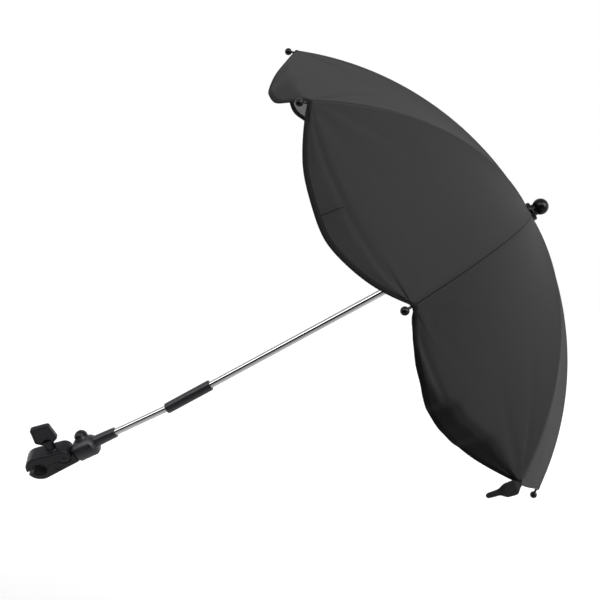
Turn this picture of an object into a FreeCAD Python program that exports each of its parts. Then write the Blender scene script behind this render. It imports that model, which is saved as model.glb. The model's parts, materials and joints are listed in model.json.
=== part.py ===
import FreeCAD, Part
import math
import os

# Pram parasol: a clamp for a pram's tube, a swivel head, a two-part pole with a
# knee under a sliding sleeve, and an eight-rib canopy that opens and closes.
# Millimetres. The origin is the middle of the gripped tube's axis.
# +Z is up, and the pole rises towards +X.

V = FreeCAD.Vector
ALONG = V(1, 0, 0)
ACROSS = V(0, 1, 0)
UP = V(0, 0, 1)
NOWHERE = V(0, 0, 0)

# Stance, in degrees
arm_lean = 24.9        # clamp arm and lower pole above the horizontal
clamp_roll = 38.0      # clamp turned on its swivel, the knob towards the viewer
pole_lean = 28.24      # upper pole above the horizontal
canopy_turn = -81.7    # place of the first rib around the pole
rib_count = 8

# Fits shared by all pieces
seat_gap = 0.04        # fixed piece in its seat
running_gap = 0.08     # turning or sliding piece in its bearing
soft_gap = 0.3         # cloth beside a hard piece
overrun = 1.0          # how far a cut runs past what it cuts
edge_match = 0.001     # how near an edge lies to the face that it is picked from

# Clamp jaws, in the clamp's frame: x along the arm, z towards the knob, zero on the tube
tube_radius = 9.0
pad_thickness = 2.5
pad_edge = 0.6         # pad held back from the jaw's side faces
jaw_radius = 20.0
jaw_width = 27.0
jaw_split = 0.8
jaw_round = 2.5
hook_radius = 20.5
hook_forward = 1.0
hook_lip = 6.0
arm_reach = 6.0        # arm past the hinge's ears
arm_depth = 16.5
arm_top = 2.0          # arm's upper edge below the tube's axis, at the swivel
arm_corner = 6.0

# Jaw hinge
hinge_back = 18.0      # hinge behind the screw
hinge_z = 2.5
ear_radius = 11.5
knuckle_radius = 9.5
knuckle_foot = 7.0     # half length of the knuckle's foot
knuckle_width = 9.0
knuckle_clear = 0.4
side_gap = 0.3
hinge_pin_radius = 2.5

# Clamp screw and wing knob
screw_back = 14.0      # screw behind the pads
screw_radius = 3.0
screw_clear = 0.4
screw_end = 17.0       # screw end below the tube's axis
slot_front = 5.6
slot_back = 2.4
nut_radius = 5.4
nut_depth = 9.2
washer_radius = 8.0
washer_thickness = 1.5
washer_lift = 0.15
stem_radius = 7.5
wing_neck = 29.5
wing_low = 36.5
wing_top = 63.5
wing_low_half = 17.5
wing_top_half = 14.5
wing_thickness = 9.0
wing_corner = 4.0
wing_round = 2.0
wing_rim = 3.2         # raised rim around each of the wing's faces
wing_recess = 0.8
screw_sink = 14.0      # screw held in the knob above its foot

# Swivel between the arm and the pole socket
swivel_drop = 7.8      # swivel axis below the tube's axis
collar_radius = 11.0
collar_length = 5.5
spigot_radius = 6.5
spigot_length = 23.5
neck_radius = 2.6
neck_width = 6.4
friction_washer = 1.0
washer_inset = 0.5
barrel_radius = 15.7
barrel_length = 26.0
dome_height = 8.0
bore_end_clear = 0.4

# Pole socket on the swivel head, in the arm's frame: x along the pole, z square to it
tube_ahead = 3.0       # tube's axis ahead of the arm's zero
socket_rise = 2.6      # pole's axis above the swivel axis
socket_ahead = 18.92   # socket's root ahead of the head's face
socket_length = 47.0
socket_wide_radius = 9.0
socket_tip_radius = 7.6
socket_tip_round = 1.0
socket_depth = 31.0

# Lock button on the swivel head
button_ahead = 12.42   # button ahead of the head's face
button_radius = 10.0
button_skirt = 8.4     # button's lower edge above the pole's axis
button_shoulder = 17.0
button_dome = 8.4
button_wall = 2.2
button_roof = 15.5     # top of the hollow under the button
button_pin_radius = 2.2
button_pin_tip = 2.7   # pin's tip above the pole's axis
boss_radius = 12.0
boss_top = 13.6
boss_floor = 5.4
spring_radius = 4.2
spring_wire = 0.4
spring_turns = 6
spring_seat = 0.1

# Poles and knee
pole_radius = 5.0
pole_wall = 0.9
knee_reach = 227.0     # arm's zero to the knee's pivot
knee_shoulder = 5.4    # pivot to the lower plug's shoulder
plug_flange = 2.0
plug_length = 18.0
tongue_thickness = 3.4
tongue_radius = 4.6
fork_slot = 3.7
fork_slot_top = 5.3
fork_length = 10.0
knee_pin_radius = 1.6
knee_pin_length = 9.2
sleeve_below = 8.0
sleeve_length = 76.0
sleeve_radius = 8.0
sleeve_round = 1.5
sleeve_mouth_radius = 6.2
sleeve_mouth = 12.0
sleeve_taper = 3.0

# Canopy frame, in the pole's frame: z along the upper pole from the knee
apex_reach = 576.0     # knee's pivot to the top of the cloth
tip_radius = 350.0     # middle of the rib tips to the pole's axis
canopy_rise = 178.0    # top of the cloth above the rib tips
cloth_thickness = 0.9
cloth_hole = 7.5
cloth_stations = 9
seam_inset = 0.9       # cloth held back from each rib's own plane
rib_radius = 1.5
rib_depth = 3.2        # rib's middle under the outside of the cloth
tip_ball_radius = 4.8
tip_clear = 5.2
tip_socket = 3.0
valance_depth = 46.0
valance_inset = 1.5    # valance held back from the panel's corners
valance_depth_shares = (1.0, 1.0, 1.0, 1.0, 1.1, 1.24, 1.07, 1.04)
valance_droop_shares = (0.0, -0.9, 0.0, 0.0, 0.15, 0.3, 0.3, 0.0)  # pull of its own weight

# Rib hinges on the top notch and the runner
crown_pin_circle = 11.5
crown_radius = 15.0
crown_top_drop = 1.7
crown_height = 12.0
crown_slot = 3.4
crown_slot_start = 7.6
crown_pin_radius = 0.9
crown_pin_length = 7.4
eye_drop = 4.0
eye_radius = 2.3
eye_width = 3.0
eye_neck = 3.6

# Stretchers and their brackets on the ribs
bracket_radius = 172.0
bracket_drop = 3.8
lug_width = 4.2
lug_thickness = 1.6
stud_radius = 1.0
stud_length = 5.4
stretcher_radius = 1.3
cheek_radius = 2.1
cheek_thickness = 1.1
cheek_gap = 0.2
bridge_start = 4.4
bridge_length = 3.6

# Runner
runner_head_below = 6.0
runner_head_above = 4.0
runner_body_radius = 8.6
runner_length = 34.0
runner_flange_radius = 11.0
runner_flange = 3.0
runner_round = 1.0

# Top ferrule and ball
ferrule_radius = 13.0
ferrule_thickness = 5.0
ferrule_round = 2.0
ferrule_hub_radius = 6.6
ferrule_stem_length = 18.0
ferrule_neck_radius = 8.0
ferrule_neck_sink = 5.0
ball_radius = 11.0
ball_rise = 16.0

# Tie strap sewn at the second rib's corner
strap_turn = -48.0     # degrees that the strap faces away from the rib's own plane
strap_length = 42.0
strap_width = 17.0
strap_thickness = 1.4
strap_root_gap = 1.6
strap_ball_gap = 1.6
strap_lean_share = 0.27
strap_down_shares = (0.0, 0.2, 0.45, 0.7, 1.0)
strap_out_shares = (0.0, 1.0, 1.0, 0.7, 0.5)
strap_width_shares = (0.3, 1.0, 0.95, 0.5, 0.42)


arm_turn = FreeCAD.Rotation(ACROSS, -arm_lean)
clamp_place = FreeCAD.Placement(NOWHERE, arm_turn.multiply(FreeCAD.Rotation(ALONG, clamp_roll)))
swivel_point = clamp_place.multVec(V(-tube_ahead, 0, -swivel_drop))
arm_place = FreeCAD.Placement(swivel_point + arm_turn.multVec(UP * socket_rise), arm_turn)
knee_point = arm_place.multVec(V(knee_reach, 0, 0))
pole_place = FreeCAD.Placement(knee_point, FreeCAD.Rotation(ACROSS, 90 - pole_lean))


def rib_place(index):
    """Frame of one rib: x outwards in the rib's own plane, z along the upper pole."""
    turn = canopy_turn + 360.0 / rib_count * index
    return pole_place.multiply(FreeCAD.Placement(NOWHERE, FreeCAD.Rotation(UP, turn)))


def keep(name, shape, place):
    """Put a piece where it belongs and write it out."""
    piece = shape.copy()
    piece.Placement = place.multiply(shape.Placement)
    piece.exportStep("parts/" + name + ".step")


def rod(radius, start, axis, length):
    return Part.makeCylinder(radius, length, start, axis)


def cross_rod(radius, x, z, width):
    """A rod along Y, centred on the middle plane."""
    return rod(radius, V(x, -width / 2, z), ACROSS, width)


def block(x_low, x_high, width, z_low, z_high):
    """A box centred on the middle plane."""
    return Part.makeBox(x_high - x_low, width, z_high - z_low, V(x_low, -width / 2, z_low))


def line(start, end):
    return Part.LineSegment(start, end).toShape()


def arc(start, middle, end):
    return Part.Arc(start, middle, end).toShape()


def slab(edges, width):
    """An outline in the XZ plane made into a plate, centred on the middle plane."""
    face = Part.Face(Part.Wire(edges))
    face.translate(V(0, -width / 2, 0))
    return face.extrude(V(0, width, 0))


def side_edges(shape, width):
    """Edges that lie in a plate's two side faces."""
    found = []
    for edge in shape.Edges:
        reach = [abs(abs(v.Point.y) - width / 2) for v in edge.Vertexes]
        middle = abs(abs(edge.CenterOfMass.y) - width / 2)
        if max(reach + [middle]) < edge_match:
            found.append(edge)
    return found


# Sizes that several pieces share
pad_radius = tube_radius + pad_thickness
screw_x = pad_radius + screw_back
hinge_x = screw_x + hinge_back
arm_length = hinge_x + ear_radius + arm_reach
ear_middle = V(hinge_x, 0, hinge_z)
nut_middle = V(screw_x, 0, -nut_depth)
# The upper jaw's flat top touches the hook's and the ears' rounds, and the screw stands square to it
screw_lean = math.degrees(math.asin((hook_radius - ear_radius) / (hinge_x - hook_forward)))
screw_turn = FreeCAD.Placement(NOWHERE, FreeCAD.Rotation(ACROSS, screw_lean), nut_middle)
screw_way = screw_turn.Rotation.multVec(UP)
seat_z = (ear_middle - nut_middle).dot(screw_way) + ear_radius - nut_depth
washer_z = seat_z + washer_lift
knob_z = washer_z + washer_thickness + washer_lift
arm_end = arm_length + tube_ahead
head_start = arm_end + friction_washer + 2 * seat_gap
button_x = head_start + button_ahead
socket_start = head_start + socket_ahead
socket_end = socket_start + socket_length
socket_floor = socket_end - socket_depth
pole_bore = pole_radius - pole_wall
depth_left = canopy_rise - rib_depth
cloth_sphere = (tip_radius**2 + canopy_rise**2 - rib_depth**2) / (2 * depth_left)
rib_sphere = cloth_sphere - rib_depth
sphere_z = apex_reach - cloth_sphere
tip_angle = math.asin(tip_radius / rib_sphere)
hinge_angle = math.asin(crown_pin_circle / (rib_sphere - eye_drop))
bracket_angle = math.asin(bracket_radius / rib_sphere)
corner_angle = tip_angle - (tip_ball_radius + tip_clear) / cloth_sphere
half_turn = math.pi / rib_count


def on_rib(angle, radius):
    """A point in a rib's plane, on a sphere about the canopy's middle."""
    return V(radius * math.sin(angle), 0, sphere_z + radius * math.cos(angle))


notch_pin = on_rib(hinge_angle, rib_sphere - eye_drop)
bracket_pin = on_rib(bracket_angle, rib_sphere - bracket_drop)
# Rib and stretcher are equal sides, so the runner's pins stay straight below the notch's
runner_pin = V(notch_pin.x, 0, 2 * bracket_pin.z - notch_pin.z)
# The runner's pin circle equals the notch's, so both lengths come from the same points
stretcher_length = (runner_pin - bracket_pin).Length


# Clamp
def leaned(shape):
    """A shape turned with the clamp screw, about the nut's middle."""
    turned = shape.copy()
    turned.Placement = screw_turn.multiply(shape.Placement)
    return turned


def make_lower_jaw():
    top = -jaw_split / 2
    left = V(-math.sqrt(jaw_radius**2 - top**2), 0, top)
    low_left = V(-jaw_radius * math.sin(math.pi / 4), 0, -jaw_radius * math.cos(math.pi / 4))
    bottom = V(0, 0, -jaw_radius)
    arm_low = V(arm_length, 0, -arm_depth)
    arm_high = V(arm_length, 0, -arm_top)
    step = V(hinge_x, 0, top)
    body = slab([arc(left, low_left, bottom), line(bottom, arm_low), line(arm_low, arm_high),
                 line(arm_high, step), line(step, left)], jaw_width)
    ends = [e for e in body.Edges if min(v.Point.x for v in e.Vertexes) > arm_length - edge_match
            and e.Length < jaw_width - edge_match]
    body = body.makeFillet(arm_corner, ends)
    under = [e for e in side_edges(body, jaw_width) if e.CenterOfMass.z < -jaw_radius / 2]
    body = body.makeFillet(jaw_round, under)

    ear_room = cross_rod(ear_radius + knuckle_clear, hinge_x, hinge_z, jaw_width + overrun)
    collar_start = V(arm_length - collar_length, 0, -swivel_drop)
    foot_low = -arm_depth + jaw_round
    body = body.cut(ear_room).multiFuse([
        rod(collar_radius, collar_start, ALONG, collar_length),
        rod(spigot_radius, collar_start, ALONG, collar_length + spigot_length),
        cross_rod(knuckle_radius, hinge_x, hinge_z, knuckle_width),
        block(hinge_x - knuckle_foot, hinge_x + knuckle_foot, knuckle_width, foot_low, hinge_z),
    ]).removeSplitter()

    neck_x = button_x - tube_ahead - neck_width / 2
    neck_start = V(neck_x, 0, -swivel_drop)
    neck = rod(spigot_radius + overrun, neck_start, ALONG, neck_width)
    neck = neck.cut(rod(neck_radius, neck_start, ALONG, neck_width))
    hole_start = V(screw_x, 0, -jaw_radius - overrun)
    return body.cut([
        cross_rod(pad_radius + seat_gap, 0, 0, jaw_width + overrun),
        cross_rod(hinge_pin_radius + seat_gap, hinge_x, hinge_z, jaw_width + overrun),
        cross_rod(nut_radius + seat_gap, screw_x, -nut_depth, jaw_width + overrun),
        leaned(rod(screw_radius + screw_clear, hole_start, UP, jaw_radius + 2 * overrun)),
        neck,
    ])


def make_upper_jaw():
    """Hook, bar and ears in one outline."""
    bottom = jaw_split / 2
    hook_middle = V(hook_forward, 0, hinge_z)
    inner_left = V(-math.sqrt(pad_radius**2 - hook_lip**2), 0, hook_lip)
    reach = math.sqrt(hook_radius**2 - (hook_lip - hinge_z)**2)
    outer_left = V(hook_forward - reach, 0, hook_lip)
    flat_start = hook_middle + screw_way * hook_radius
    flat_end = ear_middle + screw_way * ear_radius
    ear_low = ear_middle - UP * ear_radius
    reach = math.sqrt(ear_radius**2 - (bottom - hinge_z)**2)
    ear_left = V(hinge_x - reach, 0, bottom)
    low_left = ear_middle - (ALONG + UP) * (ear_radius * math.sin(math.pi / 4))
    inner_right = V(math.sqrt(pad_radius**2 - bottom**2), 0, bottom)
    jaw = slab([line(inner_left, outer_left), arc(outer_left, hook_middle + UP * hook_radius, flat_start),
                line(flat_start, flat_end), arc(flat_end, ear_middle + ALONG * ear_radius, ear_low),
                arc(ear_low, low_left, ear_left), line(ear_left, inner_right),
                arc(inner_right, V(0, 0, pad_radius), inner_left)], jaw_width)
    crown = [e for e in side_edges(jaw, jaw_width) if e.CenterOfMass.z > pad_radius
             and e.Length > math.pi * pad_radius]
    jaw = jaw.makeFillet(jaw_round, crown)

    slot_low = screw_x - screw_radius - slot_front
    slot_high = screw_x + screw_radius + slot_back
    knuckle_room = knuckle_width + 2 * side_gap
    return jaw.cut([
        leaned(block(slot_low, slot_high, 2 * (screw_radius + screw_clear), -nut_depth, seat_z + overrun)),
        cross_rod(pad_radius + seat_gap, 0, 0, jaw_width + overrun),
        cross_rod(knuckle_radius + knuckle_clear, hinge_x, hinge_z, knuckle_room),
        block(hinge_x - knuckle_radius, hinge_x + ear_radius + overrun, knuckle_room, -arm_depth, hinge_z),
        cross_rod(hinge_pin_radius + running_gap, hinge_x, hinge_z, jaw_width + overrun),
    ])


def make_pad(upper):
    width = jaw_width - 2 * pad_edge
    ring = cross_rod(pad_radius, 0, 0, width).cut(cross_rod(tube_radius, 0, 0, jaw_width))
    reach = pad_radius + overrun
    if not upper:
        return ring.common(block(-reach, reach, jaw_width, -reach, -jaw_split / 2))
    ring = ring.common(block(-reach, reach, jaw_width, jaw_split / 2, reach))
    return ring.cut(block(-reach, 0, jaw_width, 0, hook_lip))


def make_nut():
    nut = cross_rod(nut_radius, screw_x, -nut_depth, jaw_width - 2 * pad_edge)
    thread_start = V(screw_x, 0, -nut_depth - nut_radius - overrun)
    return nut.cut(leaned(rod(screw_radius + running_gap, thread_start, UP, 2 * (nut_radius + overrun))))


def make_washer():
    start = V(screw_x, 0, washer_z)
    hole = rod(screw_radius + running_gap, start, UP, washer_thickness)
    return rod(washer_radius, start, UP, washer_thickness).cut(hole)


def make_knob():
    outline = [(-stem_radius, wing_neck), (-wing_low_half, wing_low), (-wing_top_half, wing_top),
               (wing_top_half, wing_top), (wing_low_half, wing_low), (stem_radius, wing_neck)]
    corners = [V(screw_x + x, 0, z) for x, z in outline]
    edges = [line(a, b) for a, b in zip(corners, corners[1:] + corners[:1])]
    wing = slab(edges, wing_thickness)
    tips = [e for e in wing.Edges if len(side_edges(Part.Compound([e]), wing_thickness)) == 0
            and e.CenterOfMass.z > wing_neck + edge_match]
    wing = wing.makeFillet(wing_corner, tips)
    wing = wing.makeFillet(wing_round, side_edges(wing, wing_thickness))
    inner = Part.Wire(edges).makeOffset2D(-wing_rim)
    for side in (-1, 1):
        recess = Part.Face(inner).extrude(ACROSS * (side * wing_thickness))
        recess.translate(ACROSS * (side * (wing_thickness / 2 - wing_recess)))
        wing = wing.cut(recess)
    foot = V(screw_x, 0, knob_z)
    stem = rod(stem_radius, foot, UP, wing_low - knob_z)
    stem = stem.fuse(rod(washer_radius, foot, UP, washer_thickness))
    return wing.fuse(stem).removeSplitter().cut(rod(screw_radius + seat_gap, foot, UP, screw_sink))


def make_screw():
    return rod(screw_radius, V(screw_x, 0, -screw_end), UP, screw_end + knob_z + screw_sink - seat_gap)


# Swivel head, its washer and its lock button
def make_friction_washer():
    start = V(arm_length + seat_gap, 0, -swivel_drop)
    hole = rod(spigot_radius + running_gap, start, ALONG, friction_washer)
    return rod(collar_radius - washer_inset, start, ALONG, friction_washer).cut(hole)


def make_swivel_head():
    barrel_end = head_start + barrel_length
    outline = Part.Wire([
        line(V(head_start, 0, 0), V(head_start, 0, barrel_radius)),
        line(V(head_start, 0, barrel_radius), V(barrel_end, 0, barrel_radius)),
        arc(V(barrel_end, 0, barrel_radius),
            V(barrel_end + dome_height * math.sin(math.pi / 4), 0, barrel_radius * math.sin(math.pi / 4)),
            V(barrel_end + dome_height, 0, 0)),
        line(V(barrel_end + dome_height, 0, 0), V(head_start, 0, 0)),
    ])
    barrel = Part.Face(outline).revolve(NOWHERE, ALONG, 360)
    barrel.translate(V(0, 0, -socket_rise))
    socket = Part.makeCone(socket_wide_radius, socket_tip_radius, socket_length,
                           V(socket_start, 0, 0), ALONG)
    tip_edge = [e for e in socket.Edges if e.CenterOfMass.x > socket_end - edge_match]
    socket = socket.makeFillet(socket_tip_round, tip_edge)
    boss = rod(boss_radius, V(button_x, 0, -socket_rise), UP, boss_top + socket_rise)
    head = barrel.multiFuse([socket, boss]).removeSplitter()
    cavity_radius = button_radius + running_gap
    return head.cut([
        rod(spigot_radius + running_gap, V(arm_end, 0, -socket_rise), ALONG, spigot_length + bore_end_clear),
        rod(pole_radius + seat_gap, V(socket_floor, 0, 0), ALONG, socket_depth + overrun),
        rod(cavity_radius, V(button_x, 0, boss_floor), UP, boss_top),
        rod(button_pin_radius + running_gap, V(button_x, 0, -socket_rise), UP, socket_rise + boss_top),
    ])


def make_lock_button():
    low = V(button_x, 0, button_skirt)
    shell = rod(button_radius, low, UP, button_shoulder - button_skirt)
    dome_radius = (button_radius**2 + button_dome**2) / (2 * button_dome)
    dome_z = button_shoulder + button_dome - dome_radius
    dome = Part.makeSphere(dome_radius, V(button_x, 0, dome_z))
    keep_box = block(button_x - 2 * dome_radius, button_x + 2 * dome_radius, 4 * dome_radius,
                     button_shoulder, button_shoulder + 2 * dome_radius)
    shell = shell.fuse(dome.common(keep_box)).removeSplitter()
    shell = shell.cut(rod(button_radius - button_wall, low, UP, button_roof - button_skirt))
    pin_start = V(button_x, 0, button_pin_tip)
    return shell.fuse(rod(button_pin_radius, pin_start, UP, button_roof - button_pin_tip)).removeSplitter()


def make_button_spring():
    """A coil of quarter-turn arcs between the boss's floor and the button's roof."""
    low = boss_floor + spring_wire + spring_seat
    high = button_roof - spring_wire - spring_seat
    quarters = 4 * spring_turns

    def on_coil(step):
        turn = math.pi / 2 * step
        return V(button_x + spring_radius * math.cos(turn), spring_radius * math.sin(turn),
                 low + (high - low) * step / quarters)

    path = Part.Wire([arc(on_coil(n), on_coil(n + 0.5), on_coil(n + 1)) for n in range(quarters)])
    start_way = path.Edges[0].tangentAt(path.Edges[0].FirstParameter)
    wire = Part.Wire(Part.makeCircle(spring_wire, on_coil(0), start_way))
    return path.makePipeShell([wire], True, False)


# Poles and knee
def make_lower_pole():
    end = knee_reach - knee_shoulder - plug_flange
    start = V(socket_floor + seat_gap, 0, 0)
    length = end - start.x - seat_gap
    bore = rod(pole_bore, start, ALONG, length)
    return rod(pole_radius, start, ALONG, length).cut(bore)


def make_knee_tongue():
    shoulder = knee_reach - knee_shoulder
    flange_start = V(shoulder - plug_flange, 0, 0)
    plug = rod(pole_bore - seat_gap, V(flange_start.x - plug_length, 0, 0), ALONG, plug_length + plug_flange)
    flange = rod(pole_radius, flange_start, ALONG, plug_flange)
    web = block(shoulder - plug_flange, knee_reach, tongue_thickness, -tongue_radius, tongue_radius)
    web = web.common(rod(pole_radius, flange_start, ALONG, plug_flange + knee_shoulder))
    eye = cross_rod(tongue_radius, knee_reach, 0, tongue_thickness)
    tongue = plug.multiFuse([flange, web, eye]).removeSplitter()
    return tongue.cut(cross_rod(knee_pin_radius + running_gap, knee_reach, 0, tongue_thickness + overrun))


def make_knee_fork():
    body = rod(pole_radius, V(0, 0, -pole_radius), UP, fork_length + pole_radius)
    keep_eye = cross_rod(pole_radius, 0, 0, 2 * pole_radius)
    keep_body = block(-pole_radius, pole_radius, 2 * pole_radius, 0, fork_length)
    body = body.common(keep_eye.fuse(keep_body))
    plug = rod(pole_bore - seat_gap, V(0, 0, fork_length - plug_flange), UP, plug_length + plug_flange)
    fork = body.fuse(plug).removeSplitter()
    reach = pole_radius + overrun
    return fork.cut([
        block(-reach, reach, fork_slot, -reach, fork_slot_top),
        cross_rod(knee_pin_radius + seat_gap, 0, 0, 2 * reach),
    ])


def make_sleeve():
    body = rod(sleeve_radius, V(0, 0, -sleeve_below), UP, sleeve_length)
    rims = [e for e in body.Edges if e.Length > math.pi * sleeve_radius and e.Closed]
    body = body.makeFillet(sleeve_round, rims)
    bore_radius = pole_radius + running_gap
    mouth_end = sleeve_mouth - sleeve_below
    taper = Part.makeCone(sleeve_mouth_radius, bore_radius, sleeve_taper, V(0, 0, mouth_end), UP)
    return body.cut([
        rod(bore_radius, V(0, 0, -sleeve_below), UP, sleeve_length),
        rod(sleeve_mouth_radius, V(0, 0, -sleeve_below - overrun), UP, sleeve_mouth + overrun),
        taper,
    ])


def make_upper_pole():
    start = V(0, 0, fork_length + seat_gap)
    length = apex_reach - soft_gap - fork_length
    return rod(pole_radius, start, UP, length).cut(rod(pole_bore, start, UP, length))


# Notch, runner, ribs and stretchers
def at_each_rib(shape):
    """Copies of a piece in every rib's own plane."""
    copies = []
    for index in range(rib_count):
        copy = shape.copy()
        copy.rotate(NOWHERE, UP, canopy_turn + 360.0 / rib_count * index)
        copies.append(copy)
    return copies


def crown_slots(low, high):
    """Radial slots for the eyes of ribs or stretchers."""
    return at_each_rib(block(crown_slot_start, crown_radius + overrun, crown_slot, low, high))


def crown_pins(z, clearance):
    """One short pin across each slot, or the hole for it."""
    length = crown_pin_length + 2 * clearance
    return at_each_rib(cross_rod(crown_pin_radius + clearance, crown_pin_circle, z, length))


def make_notch():
    top = apex_reach - crown_top_drop
    low = top - crown_height
    crown = rod(crown_radius, V(0, 0, low), UP, crown_height)
    bore = rod(pole_radius + seat_gap, V(0, 0, low), UP, crown_height)
    return crown.cut([bore] + crown_slots(low, top) + crown_pins(notch_pin.z, seat_gap))


def make_runner():
    head_low = runner_pin.z - runner_head_below
    head_top = runner_pin.z + runner_head_above
    foot = V(0, 0, head_top - runner_length)
    head = rod(crown_radius, V(0, 0, head_low), UP, head_top - head_low)
    body = rod(runner_body_radius, foot, UP, runner_length)
    flange = rod(runner_flange_radius, foot, UP, runner_flange)
    rims = [e for e in flange.Edges if e.Closed and e.Length > math.pi * runner_flange_radius]
    flange = flange.makeFillet(runner_round, rims)
    runner = head.multiFuse([body, flange]).removeSplitter()
    bore = rod(pole_radius + running_gap, foot, UP, runner_length)
    return runner.cut([bore] + crown_slots(head_low, head_top) + crown_pins(runner_pin.z, seat_gap))


def bent_rod(radius, sphere, start_angle, end_angle):
    """A round rod on a great circle about the canopy's middle, in the rib's plane."""
    way = V(math.cos(start_angle), 0, -math.sin(start_angle))
    ring = Part.Face(Part.Wire(Part.makeCircle(radius, on_rib(start_angle, sphere), way)))
    return ring.revolve(V(0, 0, sphere_z), ACROSS, math.degrees(end_angle - start_angle))


def lug_to_rod(pin, angle, width, thickness, height):
    """A plate that stands on a pin and reaches out to the rib's rod."""
    plate = Part.makeBox(width, thickness, height, V(-width / 2, -thickness / 2, 0))
    plate.rotate(NOWHERE, ACROSS, math.degrees(angle))
    plate.translate(pin)
    return plate


def make_rib():
    rod_end = tip_angle - (tip_ball_radius - tip_socket) / rib_sphere
    piece = bent_rod(rib_radius, rib_sphere, hinge_angle, rod_end)
    eye = cross_rod(eye_radius, notch_pin.x, notch_pin.z, eye_width)
    neck = lug_to_rod(notch_pin, hinge_angle, eye_neck, eye_width, eye_drop)
    lug = lug_to_rod(bracket_pin, bracket_angle, lug_width, lug_thickness, bracket_drop)
    lug_foot = cross_rod(lug_width / 2, bracket_pin.x, bracket_pin.z, lug_thickness)
    piece = piece.multiFuse([eye, neck, lug, lug_foot])
    piece = piece.cut(cross_rod(crown_pin_radius + running_gap, notch_pin.x, notch_pin.z, 2 * eye_width))
    return piece.fuse(cross_rod(stud_radius, bracket_pin.x, bracket_pin.z, stud_length)).removeSplitter()


def make_rib_tip():
    ball = Part.makeSphere(tip_ball_radius, on_rib(tip_angle, rib_sphere))
    start_angle = tip_angle - (tip_ball_radius + overrun) / rib_sphere
    end_angle = tip_angle - (tip_ball_radius - tip_socket - seat_gap) / rib_sphere
    return ball.cut(bent_rod(rib_radius + seat_gap, rib_sphere, start_angle, end_angle))


def make_stretcher():
    """Fork at the rib's bracket, plain rod, eye at the runner."""
    pieces = []
    cheek_y = lug_thickness / 2 + cheek_gap + cheek_thickness / 2
    for side in (-1, 1):
        cheek = cross_rod(cheek_radius, 0, 0, cheek_thickness)
        arm = block(0, bridge_start + bridge_length, cheek_thickness, -stretcher_radius, stretcher_radius)
        for piece in (cheek, arm):
            piece.translate(V(0, side * cheek_y, 0))
            pieces.append(piece)
    bridge_width = lug_thickness + 2 * (cheek_gap + cheek_thickness)
    pieces.append(block(bridge_start, bridge_start + bridge_length, bridge_width,
                        -stretcher_radius, stretcher_radius))
    pieces.append(rod(stretcher_radius, V(bridge_start, 0, 0), ALONG, stretcher_length - bridge_start))
    eye = cross_rod(eye_radius, stretcher_length, 0, eye_width)
    bar = pieces[0].multiFuse(pieces[1:] + [eye]).removeSplitter()
    bar = bar.cut([cross_rod(stud_radius + running_gap, 0, 0, 2 * bridge_width),
                   cross_rod(crown_pin_radius + running_gap, stretcher_length, 0, 2 * eye_width)])
    way = runner_pin - bracket_pin
    bar.rotate(NOWHERE, ACROSS, math.degrees(math.atan2(-way.z, way.x)))
    bar.translate(bracket_pin)
    return bar


# Cloth
def gore_outward():
    """Level direction away from the pole at a gore's middle."""
    return V(math.cos(half_turn), math.sin(half_turn), 0)


def gore_ends(angle):
    """The two ends of a taut line of cloth from one rib to the next."""
    first = on_rib(angle, cloth_sphere)
    second = FreeCAD.Rotation(UP, math.degrees(2 * half_turn)).multVec(first)
    way = (second - first).normalize()
    return first + way * seam_inset, second - way * seam_inset


def make_gore(index):
    """One panel of the canopy, taut from rib to rib, with its valance hanging from the tips."""
    start_angle = math.asin(cloth_hole / cloth_sphere)
    outward = gore_outward()
    sections = []
    for station in range(cloth_stations):
        share = station / (cloth_stations - 1.0)
        angle = start_angle + (corner_angle - start_angle) * share
        first, second = gore_ends(angle)
        inward = -(outward * math.sin(angle) + UP * math.cos(angle))
        if station == cloth_stations - 1:
            inward = -outward
        inward = inward * cloth_thickness
        sections.append(Part.makePolygon([first, second, second + inward, first + inward, first]))
    panel = Part.makeLoft(sections, True, False)
    first, second = gore_ends(corner_angle)
    inset = (second - first).normalize() * valance_inset
    first, second = first + inset, second - inset
    down = rib_place(index).Rotation.inverted().multVec(-UP)
    hang = (down * valance_droop_shares[index] - UP).normalize()
    lowest = (first + second) * 0.5 + hang * (valance_depth * valance_depth_shares[index])
    valance = Part.Face(Part.Wire([line(first, second), arc(second, lowest, first)]))
    valance = valance.extrude(-outward * cloth_thickness)
    return panel.fuse(valance).removeSplitter()


def make_tie_strap():
    """A short band that hangs from the corner of the cloth, outside the rib's ball."""
    corner = on_rib(corner_angle, cloth_sphere)
    way = (-UP - ACROSS * strap_lean_share).normalize()
    facing = FreeCAD.Rotation(UP, strap_turn).multVec(ALONG)
    facing = (facing - way * facing.dot(way)).normalize()
    sideways = facing.cross(way)
    ball_out = (on_rib(tip_angle, rib_sphere) - corner).dot(facing) + tip_ball_radius + strap_ball_gap
    sections = []
    shares = zip(strap_down_shares, strap_out_shares, strap_width_shares)
    for down_share, out_share, width_share in shares:
        out = strap_root_gap + (ball_out - strap_root_gap) * out_share
        half = sideways * (strap_width * width_share / 2)
        near = corner + way * (strap_length * down_share) + facing * out
        far = near + facing * strap_thickness
        sections.append(Part.makePolygon([near - half, near + half, far + half, far - half, near - half]))
    return Part.makeLoft(sections, True, True)


# Ferrule and ball on top
def make_ferrule():
    seat = apex_reach + soft_gap
    disc = rod(ferrule_radius, V(0, 0, seat), UP, ferrule_thickness)
    rims = [e for e in disc.Edges if e.Closed and e.Length > math.pi * ferrule_radius
            and e.CenterOfMass.z > seat + edge_match]
    disc = disc.makeFillet(ferrule_round, rims)
    hub = rod(ferrule_hub_radius, V(0, 0, apex_reach - soft_gap + 2 * seat_gap), UP, 2 * soft_gap)
    stem = rod(pole_bore - seat_gap, V(0, 0, seat - ferrule_stem_length), UP, ferrule_stem_length)
    neck_top = apex_reach + ball_rise - ball_radius + ferrule_neck_sink
    neck = rod(ferrule_neck_radius, V(0, 0, seat), UP, neck_top - seat)
    return disc.multiFuse([hub, stem, neck]).removeSplitter()


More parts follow.
